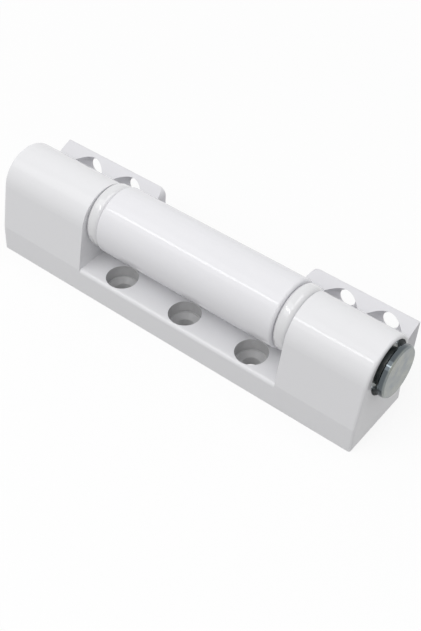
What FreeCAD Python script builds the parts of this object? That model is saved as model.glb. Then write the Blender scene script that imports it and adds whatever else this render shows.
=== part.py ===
import FreeCAD, Part
import math
import os

from FreeCAD import Vector

os.makedirs("parts", exist_ok=True)

# Surface door hinge, lying on the flat base of its block leaf.
# X runs along the pin, Y from the front edge to the back, Z up. Millimetres.
# The shapes are drawn from the front left corner of the base. Each is moved as it is
# written, so that the origin of the part is the middle of the base.

# Overall sizes of the block leaf
length = 141.0
base_depth = 26.6
plate_height = 9.0
foot_lean = 0.6
left_block_length = 34.9
right_block_length = 27.9
crown_r = 11.5
end_edge_round = 0.9
plate_edge_round = 1.3

# Pin axis, measured from the centre of the rounded block top
pin_back = 0.5
pin_up = 1.3

# Screw holes of the front plate
front_hole_count = 3
front_hole_pitch = 26.0
front_hole_in = 6.9
front_hole_r = 3.2
front_sink_r = 5.3
front_sink_depth = 4.4
front_cone_r = 4.7

# Pin, its bore and the pieces on it
pin_r = 6.9
liner_wall = 2.05
mouth_depth = 3.0
neck_r = 6.0
neck_length = 2.7
head_r = 8.4
head_thick = 2.3
head_chamfer = 0.45
pin_chamfer = 0.6
pin_tail_in = 0.7
washer_wall = 1.3
washer_thick = 1.5
clip_thick = 1.2
clip_groove_depth = 0.6
clip_width = 1.6
clip_eye_r = 1.3
clip_eye_hole_r = 0.6
clip_gap_deg = 40.0

# Barrel with its end bushes
barrel_r = 11.4
barrel_over_plate = 2.9
barrel_edge_round = 0.8
bush_flange_width = 5.0
bush_flange_r = 10.9
bush_flange_round = 1.9
bush_wall = 2.15
bush_reach = 20.0

# Rear plate of the barrel leaf, with the notch between its tabs
tab_thick = 6.2
tab_height = 17.0
tab_top_up = 3.7
tab_left_in = 0.3
tab_right_in = 1.6
tab_land = 0.5
tab_slope_height = 3.0
tab_slope_round = 3.0
tab_corner_round = 2.6
notch_start = 43.3
notch_length = 58.5
notch_depth = 6.6
notch_round = 2.0
web_end_in = 2.5
left_tab_hole_in = 13.6
left_tab_hole_pitch = 17.1
right_tab_hole_in = 10.5
right_tab_hole_pitch = 15.2
tab_hole_down = 4.5
tab_hole_r = 2.8
tab_sink_r = 7.3
tab_drill_land = 0.5

# Clearances
running = 0.05
side_play = 0.2
swing_gap = 0.7
rest_gap = 0.35

# How far cutters run past a face, and how near an edge must be to count as in a plane
over = 1.0
near = 1e-4

# Places worked out from the sizes
crown_y = base_depth - crown_r
axis_y = crown_y + pin_back
axis_z = plate_height + barrel_over_plate + barrel_r
crown_z = axis_z - pin_up
bore_r = pin_r + running + liner_wall
right_block_start = length - right_block_length
barrel_start = left_block_length + side_play + bush_flange_width
barrel_end = right_block_start - side_play - bush_flange_width
barrel_length = barrel_end - barrel_start
front_middle = (left_block_length + right_block_start) / 2
tab_inner = pin_back + crown_r + swing_gap
tab_bottom = tab_top_up - tab_height
notch_floor = tab_top_up - notch_depth

X_AXIS = Vector(1, 0, 0)
PIN_LINE = Vector(0, axis_y, axis_z)


def hang_angle():
    """Degrees by which the barrel leaf leans in before its lower edge meets the base."""
    reach = math.hypot(tab_inner, tab_bottom)
    upright = math.atan2(tab_bottom, tab_inner)
    leaning = -math.acos((base_depth - axis_y + rest_gap) / reach)
    return math.degrees(upright - leaning)


def closed_face(edges):
    return Part.Face(Part.Wire(Part.__sortEdges__(edges)))


def line(a, b):
    return Part.makeLine(Vector(*a), Vector(*b))


def arc(a, middle, b):
    return Part.Arc(Vector(*a), Vector(*middle), Vector(*b)).toShape()


def pin_cylinder(radius, start, end):
    """A round bar on the pin axis from one place along X to another."""
    return Part.makeCylinder(radius, end - start, PIN_LINE + Vector(start, 0, 0), X_AXIS)


def pin_ring(outer, inner, start, end):
    return pin_cylinder(outer, start, end).cut(pin_cylinder(inner, start - over, end + over))


def edges_in_plane(shape, place):
    """Edges that lie in the plane at one place along X."""
    return [e for e in shape.Edges
            if abs(e.BoundBox.XMin - place) < near and abs(e.BoundBox.XMax - place) < near]


def block_section(place):
    """Block outline: foot, face leaning back further to the round top, upright rear."""
    foot = Vector(place, foot_lean, plate_height)
    centre = Vector(place, crown_y, crown_z)
    span = foot.distanceToPoint(centre)
    towards_foot = math.atan2(foot.z - centre.z, foot.y - centre.y)
    meet = towards_foot - math.acos(crown_r / span)

    def crown(angle):
        return (place, crown_y + crown_r * math.cos(angle), crown_z + crown_r * math.sin(angle))

    meet %= 2 * math.pi
    return closed_face([
        line((place, 0, 0), (place, base_depth, 0)),
        line((place, base_depth, 0), crown(0)),
        arc(crown(0), crown(meet / 2), crown(meet)),
        line(crown(meet), (place, foot_lean, plate_height)),
        line((place, foot_lean, plate_height), (place, 0, 0)),
    ])


def block(start, block_length, outer_end):
    """One end block with its outer edge rounded all round."""
    solid = block_section(start).extrude(Vector(block_length, 0, 0))
    return solid.makeFillet(end_edge_round, edges_in_plane(solid, outer_end))


def front_plate():
    """Plate between the blocks, level with their foot, its top front edge rounded."""
    place = left_block_length
    section = closed_face([
        line((place, 0, 0), (place, base_depth, 0)),
        line((place, base_depth, 0), (place, base_depth, plate_height)),
        line((place, base_depth, plate_height), (place, foot_lean, plate_height)),
        line((place, foot_lean, plate_height), (place, 0, 0)),
    ])
    solid = section.extrude(Vector(right_block_start - place, 0, 0))
    top_front = [e for e in solid.Edges
                 if e.BoundBox.YMax < foot_lean + near and e.BoundBox.ZMin > plate_height - near]
    return solid.makeFillet(plate_edge_round, top_front)


def sunk_hole(top, drill_r, sink_r, sink_depth, cone_r, direction, depth):
    """Screw hole: wide counterbore, a short cone at its seat, and the drilled hole."""
    sink = Part.makeCylinder(sink_r, sink_depth + over, top - direction * over, direction)
    cone = Part.makeCone(cone_r, drill_r, cone_r - drill_r, top + direction * sink_depth, direction)
    drill = Part.makeCylinder(drill_r, depth + 2 * over, top - direction * over, direction)
    return sink.fuse([cone, drill])


def cone_hole(top, drill_r, mouth_r, cone_depth, direction, depth):
    """Screw hole: a cone that narrows from its mouth to the drilled hole."""
    widening = (mouth_r - drill_r) / cone_depth
    cone = Part.makeCone(mouth_r + widening * over, drill_r, cone_depth + over,
                         top - direction * over, direction)
    drill = Part.makeCylinder(drill_r, depth + 2 * over, top - direction * over, direction)
    return cone.fuse(drill)


def block_leaf():
    left = block(0, left_block_length, 0)
    right = block(right_block_start, right_block_length, length)
    body = left.fuse([front_plate(), right])
    body = body.removeSplitter().cut(pin_cylinder(bore_r, -over, length + over))
    for i in range(front_hole_count):
        x = front_middle + (i - (front_hole_count - 1) / 2) * front_hole_pitch
        top = Vector(x, front_hole_in, plate_height)
        body = body.cut(sunk_hole(top, front_hole_r, front_sink_r, front_sink_depth,
                                  front_cone_r, Vector(0, 0, -1), plate_height))
    return body


def leaf_box(x, y, z, dx, dy, dz):
    """A box placed from the pin axis, in the upright frame of the barrel leaf."""
    return Part.makeBox(dx, dy, dz, PIN_LINE + Vector(x, y, z))


def tab_plate():
    """Rear plate: its upper front slopes back to a narrow land, with a soft bend below."""
    left = tab_left_in
    front = axis_y + tab_inner
    rear = front + tab_thick
    top = axis_z + tab_top_up
    bend = top - tab_slope_height
    bottom = axis_z + tab_bottom
    section = closed_face([
        line((left, front, bottom), (left, rear, bottom)),
        line((left, rear, bottom), (left, rear, top)),
        line((left, rear, top), (left, rear - tab_land, top)),
        line((left, rear - tab_land, top), (left, front, bend)),
        line((left, front, bend), (left, front, bottom)),
    ])
    plate = section.extrude(Vector(length - tab_left_in - tab_right_in, 0, 0))
    bends = [e for e in plate.Edges
             if e.BoundBox.YMax < front + near and abs(e.BoundBox.ZMin - bend) < near
             and abs(e.BoundBox.ZMax - bend) < near]
    plate = plate.makeFillet(tab_slope_round, bends)
    return plate.cut(notch())


def notch():
    """Cutter for the gap between the tabs, with round corners above and below."""
    left = notch_start
    right = notch_start + notch_length
    top = axis_z + tab_top_up
    floor = top - notch_depth
    y = axis_y + tab_inner - over
    a = tab_corner_round
    b = notch_round
    k = math.sqrt(0.5)
    above = top + over
    edges = [
        line((left - a, y, above), (left - a, y, top)),
        arc((left - a, y, top), (left - a + a * k, y, top - a + a * k), (left, y, top - a)),
        line((left, y, top - a), (left, y, floor + b)),
        arc((left, y, floor + b), (left + b - b * k, y, floor + b - b * k), (left + b, y, floor)),
        line((left + b, y, floor), (right - b, y, floor)),
        arc((right - b, y, floor), (right - b + b * k, y, floor + b - b * k), (right, y, floor + b)),
        line((right, y, floor + b), (right, y, top - a)),
        arc((right, y, top - a), (right + a - a * k, y, top - a + a * k), (right + a, y, top)),
        line((right + a, y, top), (right + a, y, above)),
        line((right + a, y, above), (left - a, y, above)),
    ]
    return closed_face(edges).extrude(Vector(0, tab_thick + 2 * over, 0))


def barrel():
    tube = pin_cylinder(barrel_r, barrel_start, barrel_start + barrel_length)
    ends = edges_in_plane(tube, barrel_start) + edges_in_plane(tube, barrel_start + barrel_length)
    return tube.makeFillet(barrel_edge_round, ends)


def web():
    """Solid foot that runs from under the barrel back to the plate, level with the notch floor."""
    return leaf_box(barrel_start + web_end_in, 0, -barrel_r, barrel_length - 2 * web_end_in,
                    tab_inner + tab_thick / 2, barrel_r + notch_floor)


def barrel_leaf():
    body = barrel().fuse([web(), tab_plate()]).removeSplitter()
    body = body.cut(pin_cylinder(pin_r + running + bush_wall, 0, length))
    backwards = Vector(0, 1, 0)
    first_left = left_tab_hole_in
    last_right = length - right_tab_hole_in
    for x in (first_left, first_left + left_tab_hole_pitch,
              last_right - right_tab_hole_pitch, last_right):
        top = PIN_LINE + Vector(x, tab_inner, tab_top_up - tab_hole_down)
        body = body.cut(cone_hole(top, tab_hole_r, tab_sink_r, tab_thick - tab_drill_land,
                                  backwards, tab_thick))
    body.rotate(PIN_LINE, X_AXIS, -hang_angle())
    return body


def flange_bush(inner_end, outwards):
    """Flanged bush: a rounded collar beside the barrel, and a sleeve inside it."""
    sleeve_r = pin_r + running + bush_wall
    flange_far = inner_end + outwards * bush_flange_width
    start, end = sorted((inner_end, flange_far))
    collar = pin_cylinder(bush_flange_r, start, end)
    rims = edges_in_plane(collar, start) + edges_in_plane(collar, end)
    collar = collar.makeFillet(bush_flange_round, rims)
    start, end = sorted((inner_end, inner_end - outwards * bush_reach))
    sleeve = pin_cylinder(sleeve_r, start, end)
    body = collar.fuse(sleeve).removeSplitter()
    return body.cut(pin_cylinder(pin_r + running, 0, length))


def liner(start, end):
    """Plastic liner pressed into a block, in which the pin sits."""
    return pin_ring(bore_r, pin_r + running, start, end)


def turned(profile):
    """Turn a list of (place along X, radius) points about the pin axis."""
    points = [PIN_LINE + Vector(x, 0, r) for x, r in profile]
    wire = Part.makePolygon(points + [points[0]])
    return Part.Face(wire).revolve(PIN_LINE, X_AXIS, 360)


def clip_place():
    return mouth_depth - clip_thick


def hinge_pin():
    """Turned pin: chamfered tail with a clip groove, shank, neck and chamfered head."""
    shank_end = length - mouth_depth + washer_thick
    head_start = shank_end + neck_length
    head_end = head_start + head_thick
    groove_r = pin_r - clip_groove_depth
    groove = clip_place()
    return turned([
        (pin_tail_in, 0),
        (pin_tail_in, pin_r - pin_chamfer),
        (pin_tail_in + pin_chamfer, pin_r),
        (groove, pin_r),
        (groove, groove_r),
        (groove + clip_thick, groove_r),
        (groove + clip_thick, pin_r),
        (shank_end, pin_r),
        (shank_end, neck_r),
        (head_start, neck_r),
        (head_start, head_r - head_chamfer),
        (head_start + head_chamfer, head_r),
        (head_end - head_chamfer, head_r),
        (head_end, head_r - head_chamfer),
        (head_end, 0),
    ])


def pin_washer():
    start = length - mouth_depth
    return pin_ring(pin_r + running + washer_wall, pin_r + running, start, start + washer_thick)


def retaining_clip():
    """Spring clip in the tail groove, open below, with an eye at each end."""
    inner = pin_r - clip_groove_depth
    start = clip_place()
    ring = pin_ring(inner + clip_width, inner, start, start + clip_thick)
    half_gap = math.radians(clip_gap_deg / 2)
    eye_at = inner + clip_eye_r
    gap_half_width = eye_at * math.sin(half_gap)
    gap = Part.makeBox(clip_thick, 2 * gap_half_width, bore_r,
                       Vector(start, axis_y - gap_half_width, axis_z - bore_r))
    clip = ring.cut(gap)
    for side in (-1, 1):
        centre = Vector(start, axis_y + side * gap_half_width, axis_z - eye_at * math.cos(half_gap))
        eye = Part.makeCylinder(clip_eye_r, clip_thick, centre, X_AXIS)
        hole = Part.makeCylinder(clip_eye_hole_r, clip_thick, centre, X_AXIS)
        clip = clip.fuse(eye).cut(hole)
    return clip.cut(pin_cylinder(inner, start, start + clip_thick)).removeSplitter()


def save(shape, name):
    """Write one piece, with the middle of the base as the origin."""
    shape.translate(Vector(-length / 2, -base_depth / 2, 0))
    shape.exportStep("parts/" + name + ".step")


save(block_leaf(), "block_leaf")
save(barrel_leaf(), "barrel_leaf")
save(flange_bush(barrel_start, -1), "left_bush")
save(flange_bush(barrel_end, 1), "right_bush")
save(liner(mouth_depth, left_block_length), "left_liner")
save(liner(right_block_start, length - mouth_depth), "right_liner")
save(hinge_pin(), "hinge_pin")
save(pin_washer(), "pin_washer")
save(retaining_clip(), "retaining_clip")
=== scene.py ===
"""Surface door hinge: white powder coat, glossy bushes, zinc plated pin, plain studio stage.

All lengths are in metres, and the hinge's pin lies along x.
"""

import math

import bpy
import numpy as np
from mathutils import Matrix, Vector


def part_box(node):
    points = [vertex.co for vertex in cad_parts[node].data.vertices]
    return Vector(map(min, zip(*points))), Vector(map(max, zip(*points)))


bl_info = {
    "name": "Surface Door Hinge",
    "version": (1, 0, 0),
    "blender": (4, 5, 0),
    "location": "3D View > Sidebar > Hinge",
    "description": "Finishes and stage for a surface door hinge on a through pin",
    "category": "Object",
}

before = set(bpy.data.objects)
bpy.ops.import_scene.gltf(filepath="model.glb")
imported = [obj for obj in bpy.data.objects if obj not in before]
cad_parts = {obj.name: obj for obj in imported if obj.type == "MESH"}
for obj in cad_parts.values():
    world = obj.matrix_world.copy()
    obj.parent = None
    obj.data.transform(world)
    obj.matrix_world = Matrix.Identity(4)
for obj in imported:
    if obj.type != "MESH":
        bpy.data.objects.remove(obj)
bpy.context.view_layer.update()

# The pin: its middle line (y, z), the x of its head's face, how thick the head is, how far
# the face's tone goes round its edge, and the patches in the plating.
PIN_LOW, PIN_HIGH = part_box("hinge_pin")
PIN_LINE = ((PIN_LOW.y + PIN_HIGH.y) / 2, (PIN_LOW.z + PIN_HIGH.z) / 2)
HEAD_FACE = PIN_HIGH.x
HEAD_THICKNESS = 0.0023
FACE_EDGE = 0.0003
# The head's side is smoother and darker, the darker colour a painted dark reflection; it blends in
# over this width.
SIDE_BLEND = 0.0004
SIDE_ROUGHNESS = 0.06
PATCH_SIZE = 0.003
PATCH_CONTRAST = 1.8
PATCH_DETAIL = 2.0

# The block leaf's front plate and its three sunk screw holes, the middle one at (x, y); the holes'
# darker colour is painted shade.
FRONT_PLATE_TOP = 0.009
HOLE_MIDDLE = (0.0035, -0.0064)
HOLE_PITCH = 0.026
HOLE_RIM = 0.0055
HOLE_BLEND = 0.0002

# The barrel leaf's rear plate, whose coat's skin is thinner and duller; its darker colour is
# painted shade.
REAR_PLATE_FRONT = PIN_LINE[0] + 0.0115
REAR_PLATE_BLEND = 0.001
REAR_PLATE_GLOSS = 0.15

# The smooth skins of the coat and of the plastic.
SKIN_IOR = 1.5
SKIN_GLOSS = 0.8
GRAIN_DETAIL = 1.5
PLASTIC_SKIN_ROUGHNESS = 0.03

# The floor's own shading ends this far from the middle, after fading over the last part.
FLOOR_REACH = 0.45
FLOOR_FADE = 0.3

# Each lamp: its name, its place, its width and height, and the property with its power.
LAMPS = (
    ("top_lamp", (0.14, 0.0, 0.85), (0.9, 0.5), "top_light"),
    ("band_lamp", (-0.26, -0.40, 0.66), (0.75, 0.5), "band_light"),
    ("edge_lamp", (-0.16, -0.41, 0.59), (0.6, 0.07), "edge_light"),
)
LAMP_AIM = (0.0, 0.0, 0.02)

# The camera's sensor in millimetres, along the longer side of the frame, and its nearest view.
SENSOR_WIDTH = 36.0
CLIP_START = 0.01

WHITE = (1.0, 1.0, 1.0, 1.0)

# The least width that a wave of the coat or a turning mark may be given.
LEAST_WIDTH = 1e-5


class Link:
    """An output socket. Sums, products and powers written with it add Math nodes."""

    def __init__(self, finish, socket):
        self.finish = finish
        self.socket = socket

    def maths(self, operation, *values):
        return self.finish.node("ShaderNodeMath", {"operation": operation}, list(values))

    def __add__(self, other):
        return self.maths("ADD", self, other)

    def __radd__(self, other):
        return self.maths("ADD", other, self)

    def __sub__(self, other):
        return self.maths("SUBTRACT", self, other)

    def __rsub__(self, other):
        return self.maths("SUBTRACT", other, self)

    def __mul__(self, other):
        return self.maths("MULTIPLY", self, other)

    def __rmul__(self, other):
        return self.maths("MULTIPLY", other, self)

    def __pow__(self, other):
        return self.maths("POWER", self, other)

    def sine(self):
        return self.maths("SINE", self)

    def rounded(self):
        return self.maths("ROUND", self)

    def clamped(self, low=0.0, high=1.0):
        return self.maths("MAXIMUM", self.maths("MINIMUM", self, high), low)

    def ramp(self, width):
        """0 below zero, 1 above the width, and in proportion between them."""
        return (self * (1 / width)).clamped()

    def outputs(self, *names):
        """Links to other outputs of the same node."""
        return [Link(self.finish, self.socket.node.outputs[name]) for name in names]


class Finish:
    """The nodes of a material or a world, built by one method."""

    def __init__(self, owner, output="ShaderNodeOutputMaterial"):
        owner.use_nodes = True
        self.owner = owner
        self.nodes = owner.node_tree.nodes
        self.links = owner.node_tree.links
        self.nodes.clear()
        self.output = self.nodes.new(output)

    def node(self, kind, settings=None, inputs=None, output=0):
        """Adds a node: its settings first, then the values or links of its sockets."""
        made = self.nodes.new(kind)
        for key, value in (settings or {}).items():
            setattr(made, key, value)
        pairs = inputs.items() if isinstance(inputs, dict) else enumerate(inputs or [])
        for key, value in pairs:
            if isinstance(value, Link):
                self.links.new(value.socket, made.inputs[key])
            else:
                made.inputs[key].default_value = value
        return Link(self, made.outputs[output])

    def place(self):
        """Object coordinates, as a vector and as its three parts."""
        where = self.node("ShaderNodeTexCoord", output="Object")
        return where, self.node("ShaderNodeSeparateXYZ", inputs=[where]).outputs("X", "Y", "Z")

    def noise(self, where, size, detail):
        """Soft random patches of about a given size."""
        return self.node("ShaderNodeTexNoise",
                         inputs={"Vector": where, "Scale": 1 / size, "Detail": detail})

    def bump(self, height, depth):
        """A normal tilted by the slope of a height times a depth."""
        return self.node("ShaderNodeBump",
                         inputs={"Height": height, "Distance": depth, "Strength": 1.0})

    def mix(self, share, first, second):
        """A colour between two colours, each a link or its red, green and blue."""
        ends = [end if isinstance(end, Link) else colour(end) for end in (first, second)]
        return self.node("ShaderNodeMix", {"data_type": "RGBA"},
                         {0: share, 6: ends[0], 7: ends[1]}, output=2)

    def principled(self, inputs):
        """One principled shader as the whole surface, and the finished material."""
        return self.surface(self.node("ShaderNodeBsdfPrincipled", inputs=inputs))

    def surface(self, shader):
        """Joins the last shader to the output."""
        self.links.new(shader.socket, self.output.inputs["Surface"])
        return self.owner


def material(name):
    """A new material, empty but for its output."""
    return Finish(bpy.data.materials.new(name))


def colour(rgb):
    """Red, green and blue with a full fourth part, as colour sockets take it."""
    return (rgb[0], rgb[1], rgb[2], 1.0)


def dress(node, made):
    """Puts a finished material in a node's slot, in place of the plain one it came with."""
    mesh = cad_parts[node].data
    mesh.materials.clear()
    mesh.materials.append(made)


def coat(name, rgb, gloss_roughness, grain_size, grain_depth, plate_shade_rgb=None, hole_shade_rgb=None):
    """Powder coat: matt colour under a smooth skin, with the slight waves of a baked film.

    With a colour for the plate, the rear plate takes that darker colour, painted shade, and a
    duller skin:
    share = distance behind the plate's front face, ramped over the width of the change.
    With a colour for the holes, the three sunk screw holes take it as painted shade. The nearest
    hole is the rounded number of pitches from the middle one, at most one to each side:
    share = distance inside that hole's rim, times depth below the front plate's top, times
    height above its underside, each ramped over the width of the change.
    """
    f = material(name)
    where, (x, y, z) = f.place()
    tone, skin = colour(rgb), SKIN_GLOSS
    if plate_shade_rgb is not None:
        # Painted shade: the rear plate is coloured darker than the barrel.
        share = (y - REAR_PLATE_FRONT).ramp(REAR_PLATE_BLEND)
        tone = f.mix(share, tone, plate_shade_rgb)
        skin = SKIN_GLOSS - share * (SKIN_GLOSS - REAR_PLATE_GLOSS)
    if hole_shade_rgb is not None:
        # Painted shade: the three sunk screw holes are coloured darker.
        along = x - HOLE_MIDDLE[0]
        along = along - (along * (1 / HOLE_PITCH)).clamped(-1.0, 1.0).rounded() * HOLE_PITCH
        across = y - HOLE_MIDDLE[1]
        inside = (HOLE_RIM - (along * along + across * across) ** 0.5).ramp(HOLE_BLEND)
        below, above = (FRONT_PLATE_TOP - z).ramp(HOLE_BLEND), z.ramp(HOLE_BLEND)
        tone = f.mix(inside * below * above, tone, hole_shade_rgb)
    normal = f.bump(f.noise(where, grain_size, GRAIN_DETAIL), grain_depth)
    return f.principled({
        "Base Color": tone, "Specular IOR Level": 0.0, "Normal": normal,
        "Coat Weight": skin, "Coat Roughness": gloss_roughness, "Coat IOR": SKIN_IOR})


def moulded(name, rgb, roughness, skin):
    """Moulded plastic: one colour, with a share of smooth skin."""
    return material(name).principled({
        "Base Color": colour(rgb), "Roughness": roughness, "IOR": SKIN_IOR,
        "Coat Weight": skin, "Coat Roughness": PLASTIC_SKIN_ROUGHNESS, "Coat IOR": SKIN_IOR})


def turned_metal(name, rgb, roughness, groove_pitch, groove_depth, tint=None, side_reflection_rgb=None):
    """Turned metal: rings about the pin's line, height = sine of the distance from it.

    With a tint, the metal has it in soft patches. With a colour for the side, the side of the
    pin's head is smoother than its face and its neck, and darker as a painted dark reflection:
    share = distance behind the face times distance before the neck, each ramped over the
    width of the change.
    """
    f = material(name)
    where, (x, y, z) = f.place()
    y, z = y - PIN_LINE[0], z - PIN_LINE[1]
    rings = ((y * y + z * z) ** 0.5 * (2 * math.pi / groove_pitch)).sine()
    shade = colour(rgb)
    if tint is not None:
        patches = f.noise(where, PATCH_SIZE, PATCH_DETAIL)
        shade = f.mix(((patches - 0.5) * PATCH_CONTRAST + 0.5).clamped(), rgb, tint)
    if side_reflection_rgb is not None:
        # Painted dark reflection: the side of the head is coloured darker.
        behind = (HEAD_FACE - FACE_EDGE - x).ramp(SIDE_BLEND)
        before = (x - (HEAD_FACE - HEAD_THICKNESS)).ramp(SIDE_BLEND)
        share = behind * before
        shade = f.mix(share, shade, side_reflection_rgb)
        roughness = roughness - share * (roughness - SIDE_ROUGHNESS)
    return f.principled({
        "Base Color": shade, "Metallic": 1.0, "Roughness": roughness,
        "Normal": f.bump(rings, groove_depth)})


class HingeCoat(bpy.types.PropertyGroup):
    """Powder coat of the two leaves"""

    block_colour: bpy.props.FloatVectorProperty(
        name="Block leaf", description="Colour of the block leaf's powder coat",
        subtype="COLOR", size=3, min=0, max=1, default=(0.86, 0.86, 0.878))
    leaf_colour: bpy.props.FloatVectorProperty(
        name="Barrel leaf", description="Colour of the barrel leaf's powder coat",
        subtype="COLOR", size=3, min=0, max=1, default=(0.868, 0.866, 0.893))
    # Painted shade: the rear plate's darker colour.
    plate_shade_colour: bpy.props.FloatVectorProperty(
        name="Rear plate", description="Colour of the thinner coat on the rear plate",
        subtype="COLOR", size=3, min=0, max=1, default=(0.79, 0.787, 0.812))
    # Painted shade: the darker colour in the sunk screw holes.
    hole_shade_colour: bpy.props.FloatVectorProperty(
        name="Sunk holes", description="Colour of the thin film in the front screw holes",
        subtype="COLOR", size=3, min=0, max=1, default=(0.62, 0.62, 0.625))
    gloss_roughness: bpy.props.FloatProperty(
        name="Gloss roughness", description="Roughness of the coat's smooth skin",
        min=0, max=1, default=0.03)
    grain_size: bpy.props.FloatProperty(
        name="Grain size", description="Width of the film's slight waves",
        unit="LENGTH", min=LEAST_WIDTH, default=0.0012)
    grain_depth: bpy.props.FloatProperty(
        name="Grain depth", description="Height of the film's slight waves",
        unit="LENGTH", min=0, default=0.000004)


class HingeBushes(bpy.types.PropertyGroup):
    """Plastic of the flanged bushes and the liners"""

    bush_colour: bpy.props.FloatVectorProperty(
        name="Bush", description="Colour of the flanged bushes",
        subtype="COLOR", size=3, min=0, max=1, default=(0.80, 0.80, 0.815))
    bush_roughness: bpy.props.FloatProperty(
        name="Bush roughness", description="Roughness of the flanged bushes",
        min=0, max=1, default=0.06)
    liner_colour: bpy.props.FloatVectorProperty(
        name="Liner", description="Colour of the liners in the block bores",
        subtype="COLOR", size=3, min=0, max=1, default=(0.012, 0.012, 0.013))
    liner_roughness: bpy.props.FloatProperty(
        name="Liner roughness", description="Roughness of the liners",
        min=0, max=1, default=0.38)


class HingeMetal(bpy.types.PropertyGroup):
    """Metal of the pin, its washer and its clip"""

    plating: bpy.props.FloatVectorProperty(
        name="Plating", description="Colour of the pin's zinc plating",
        subtype="COLOR", size=3, min=0, max=1, default=(0.19, 0.215, 0.235))
    plating_tint: bpy.props.FloatVectorProperty(
        name="Plating tint", description="Second colour in the pin's zinc plating",
        subtype="COLOR", size=3, min=0, max=1, default=(0.31, 0.32, 0.285))
    plating_roughness: bpy.props.FloatProperty(
        name="Plating roughness", description="Roughness of the pin",
        min=0, max=1, default=0.27)
    # Painted dark reflection on the side of the pin's head.
    side_reflection_colour: bpy.props.FloatVectorProperty(
        name="Side", description="Colour of the side of the pin's head",
        subtype="COLOR", size=3, min=0, max=1, default=(0.10, 0.115, 0.125))
    groove_pitch: bpy.props.FloatProperty(
        name="Turning pitch", description="Distance between the turning marks",
        unit="LENGTH", min=LEAST_WIDTH, default=0.0004)
    groove_depth: bpy.props.FloatProperty(
        name="Turning depth", description="Depth of the turning marks",
        unit="LENGTH", min=0, default=0.000002)
    ring_colour: bpy.props.FloatVectorProperty(
        name="Washer", description="Colour of the steel washer",
        subtype="COLOR", size=3, min=0, max=1, default=(0.34, 0.39, 0.41))
    ring_roughness: bpy.props.FloatProperty(
        name="Washer roughness", description="Roughness of the steel washer",
        min=0, max=1, default=0.15)
    clip_colour: bpy.props.FloatVectorProperty(
        name="Clip", description="Colour of the retaining clip",
        subtype="COLOR", size=3, min=0, max=1, default=(0.16, 0.16, 0.17))
    clip_roughness: bpy.props.FloatProperty(
        name="Clip roughness", description="Roughness of the retaining clip",
        min=0, max=1, default=0.4)


class HingeStage(bpy.types.PropertyGroup):
    """Floor, light and camera"""

    floor_colour: bpy.props.FloatVectorProperty(
        name="Floor", description="Colour of the floor",
        subtype="COLOR", size=3, min=0, max=1, default=(0.40, 0.40, 0.40))
    floor_seen: bpy.props.FloatVectorProperty(
        name="Floor seen", description="Colour of the floor's shading where the camera sees it",
        subtype="COLOR", size=3, min=0, max=1, default=(0.98, 0.98, 0.98))
    floor_size: bpy.props.FloatProperty(
        name="Floor size", description="Side of the square floor",
        unit="LENGTH", min=0.5, default=6.0)
    floor_shadow: bpy.props.FloatProperty(
        name="Floor shadow", description="Share of the floor's own shading that the camera sees",
        min=0, max=1, subtype="FACTOR", default=0.15)
    room_light: bpy.props.FloatProperty(
        name="Room light", description="Strength of the even light from all sides",
        min=0, default=0.57)
    top_light: bpy.props.FloatProperty(
        name="Top lamp", description="Power of the large lamp overhead",
        unit="POWER", min=0, default=1.80)
    band_light: bpy.props.FloatProperty(
        name="Band lamp", description="Power of the wide lamp that draws the soft bright band",
        unit="POWER", min=0, default=1.07)
    edge_light: bpy.props.FloatProperty(
        name="Edge lamp", description="Power of the narrow lamp that draws the thin bright line",
        unit="POWER", min=0, default=0.5)
    camera_place: bpy.props.FloatVectorProperty(
        name="Camera place", description="Where the camera stands",
        subtype="TRANSLATION", unit="LENGTH", size=3, default=(0.1599, -0.19122, 0.25433))
    camera_turn: bpy.props.FloatVectorProperty(
        name="Camera turn", description="How the camera is turned", subtype="EULER", size=3,
        default=(math.radians(44.5025), math.radians(-0.2534), math.radians(38.6091)))
    camera_lens: bpy.props.FloatProperty(
        name="Camera lens", description="Focal length in millimetres",
        min=10, default=63.2602)


class HINGE_OT_block_leaf(bpy.types.Operator):
    """Coats the block leaf"""

    bl_idname = "hinge.block_leaf"
    bl_label = "Block leaf"

    def execute(self, context):
        c = context.scene.hinge_coat
        # The sunk screw holes take painted shade.
        dress("block_leaf", coat("block_coat", c.block_colour, c.gloss_roughness,
                                 c.grain_size, c.grain_depth, hole_shade_rgb=c.hole_shade_colour))
        return {"FINISHED"}


class HINGE_OT_barrel_leaf(bpy.types.Operator):
    """Coats the barrel leaf"""

    bl_idname = "hinge.barrel_leaf"
    bl_label = "Barrel leaf"

    def execute(self, context):
        c = context.scene.hinge_coat
        # The rear plate takes painted shade.
        dress("barrel_leaf", coat("leaf_coat", c.leaf_colour, c.gloss_roughness,
                                  c.grain_size, c.grain_depth, plate_shade_rgb=c.plate_shade_colour))
        return {"FINISHED"}


class HINGE_OT_bushes(bpy.types.Operator):
    """Finishes the flanged bushes and the liners"""

    bl_idname = "hinge.bushes"
    bl_label = "Bushes and liners"

    def execute(self, context):
        b = context.scene.hinge_bushes
        white = moulded("bush_plastic", b.bush_colour, b.bush_roughness, 1.0)
        dark = moulded("liner_plastic", b.liner_colour, b.liner_roughness, 0.0)
        for side in ("left", "right"):
            dress(side + "_bush", white)
            dress(side + "_liner", dark)
        return {"FINISHED"}


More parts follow.
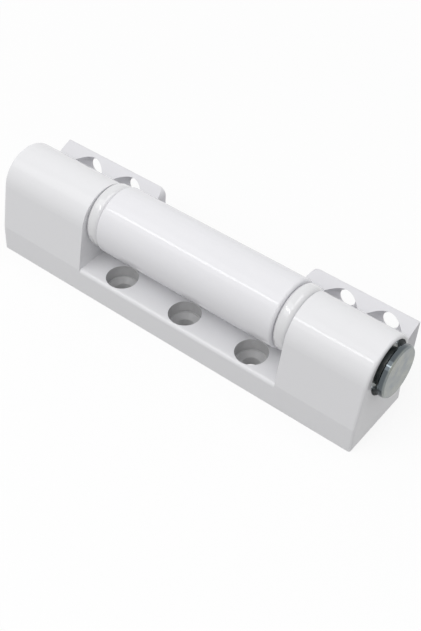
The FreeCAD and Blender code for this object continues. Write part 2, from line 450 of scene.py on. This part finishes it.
class HINGE_OT_pin(bpy.types.Operator):
    """Plates the pin and finishes its washer and clip"""

    bl_idname = "hinge.pin"
    bl_label = "Pin, washer and clip"

    def execute(self, context):
        m = context.scene.hinge_metal
        marks = (m.groove_pitch, m.groove_depth)
        # The head's side takes a painted dark reflection.
        dress("hinge_pin", turned_metal("pin_steel", m.plating, m.plating_roughness, *marks,
                                        tint=m.plating_tint, side_reflection_rgb=m.side_reflection_colour))
        dress("pin_washer", turned_metal("ring_steel", m.ring_colour, m.ring_roughness, *marks))
        dress("retaining_clip", turned_metal("clip_steel", m.clip_colour, m.clip_roughness, *marks))
        return {"FINISHED"}


def square(name, side):
    """A flat square on the ground: corners at plus and minus half the side."""
    corners = np.array([(-1, -1, 0), (1, -1, 0), (1, 1, 0), (-1, 1, 0)]) * side / 2
    mesh = bpy.data.meshes.new(name)
    mesh.from_pydata(corners.tolist(), [], [(0, 1, 2, 3)])
    made = bpy.data.objects.new(name, mesh)
    bpy.context.scene.collection.objects.link(made)
    return made


def lamp(name, place, size, power):
    """A rectangular soft lamp at a place, turned to the hinge."""
    data = bpy.data.lights.new(name, "AREA")
    data.shape = "RECTANGLE"
    data.size, data.size_y = size
    data.energy = power
    made = bpy.data.objects.new(name, data)
    bpy.context.scene.collection.objects.link(made)
    made.location = place
    towards = Vector(LAMP_AIM) - made.location
    made.rotation_euler = towards.to_track_quat("-Z", "Y").to_euler()


def seen_or_mirrored(f):
    """1 for rays from the camera, from a reflection or through glass, else 0."""
    camera, glossy, through = f.node("ShaderNodeLightPath").outputs(
        "Is Camera Ray", "Is Glossy Ray", "Is Transmission Ray")
    return (camera + glossy + through).clamped()


class HINGE_OT_stage(bpy.types.Operator):
    """Makes the floor, the lamps, the room light and the camera"""

    bl_idname = "hinge.stage"
    bl_label = "Stage"

    def execute(self, context):
        scene = context.scene
        s = scene.hinge_stage

        # The floor is white where it is seen or mirrored, but keeps some shading near the hinge.
        floor = square("floor", s.floor_size)
        f = material("floor")
        seen = seen_or_mirrored(f)
        _, (x, y, _) = f.place()
        near = (FLOOR_REACH - (x * x + y * y) ** 0.5).ramp(FLOOR_FADE)
        tone = f.mix(seen, s.floor_colour, s.floor_seen)
        shaded = f.node("ShaderNodeBsdfDiffuse", inputs={"Color": tone})
        white = f.node("ShaderNodeEmission", inputs={"Color": WHITE, "Strength": 1.0})
        share = seen * (1 - near * s.floor_shadow)
        floor.data.materials.append(
            f.surface(f.node("ShaderNodeMixShader", inputs=[share, shaded, white])))

        # The room is white where it is seen or mirrored, and lights evenly from all sides.
        w = Finish(bpy.data.worlds.new("room"), "ShaderNodeOutputWorld")
        strength = seen_or_mirrored(w) * (1 - s.room_light) + s.room_light
        scene.world = w.surface(
            w.node("ShaderNodeBackground", inputs={"Color": WHITE, "Strength": strength}))

        for name, place, size, power in LAMPS:
            lamp(name, place, size, getattr(s, power))

        data = bpy.data.cameras.new("camera")
        data.sensor_fit = "AUTO"
        data.sensor_width = SENSOR_WIDTH
        data.lens = s.camera_lens
        data.clip_start = CLIP_START
        camera = bpy.data.objects.new("camera", data)
        scene.collection.objects.link(camera)
        camera.location = s.camera_place
        camera.rotation_euler = s.camera_turn
        scene.camera = camera
        scene.view_settings.view_transform = "Standard"
        return {"FINISHED"}


PIECES = (HINGE_OT_block_leaf, HINGE_OT_barrel_leaf, HINGE_OT_bushes, HINGE_OT_pin,
          HINGE_OT_stage)
GROUPS = {"hinge_coat": HingeCoat, "hinge_bushes": HingeBushes,
          "hinge_metal": HingeMetal, "hinge_stage": HingeStage}


class HINGE_PT_panel(bpy.types.Panel):
    """Lists the hinge's finishes, its stage and the steps that make them"""

    bl_idname = "HINGE_PT_panel"
    bl_label = "Surface Door Hinge"
    bl_space_type = "VIEW_3D"
    bl_region_type = "UI"
    bl_category = "Hinge"

    def draw(self, context):
        for name, group in GROUPS.items():
            box = self.layout.box()
            for key in group.__annotations__:
                box.prop(getattr(context.scene, name), key)
        for piece in PIECES:
            self.layout.operator(piece.bl_idname)


CLASSES = (*GROUPS.values(), *PIECES, HINGE_PT_panel)


def register():
    for cls in CLASSES:
        bpy.utils.register_class(cls)
    for name, group in GROUPS.items():
        setattr(bpy.types.Scene, name, bpy.props.PointerProperty(type=group))


def unregister():
    for name in GROUPS:
        delattr(bpy.types.Scene, name)
    for cls in reversed(CLASSES):
        bpy.utils.unregister_class(cls)


def main():
    register()
    for piece in PIECES:
        area, name = piece.bl_idname.split(".")
        getattr(getattr(bpy.ops, area), name)()


if __name__ == "__main__":
    main()
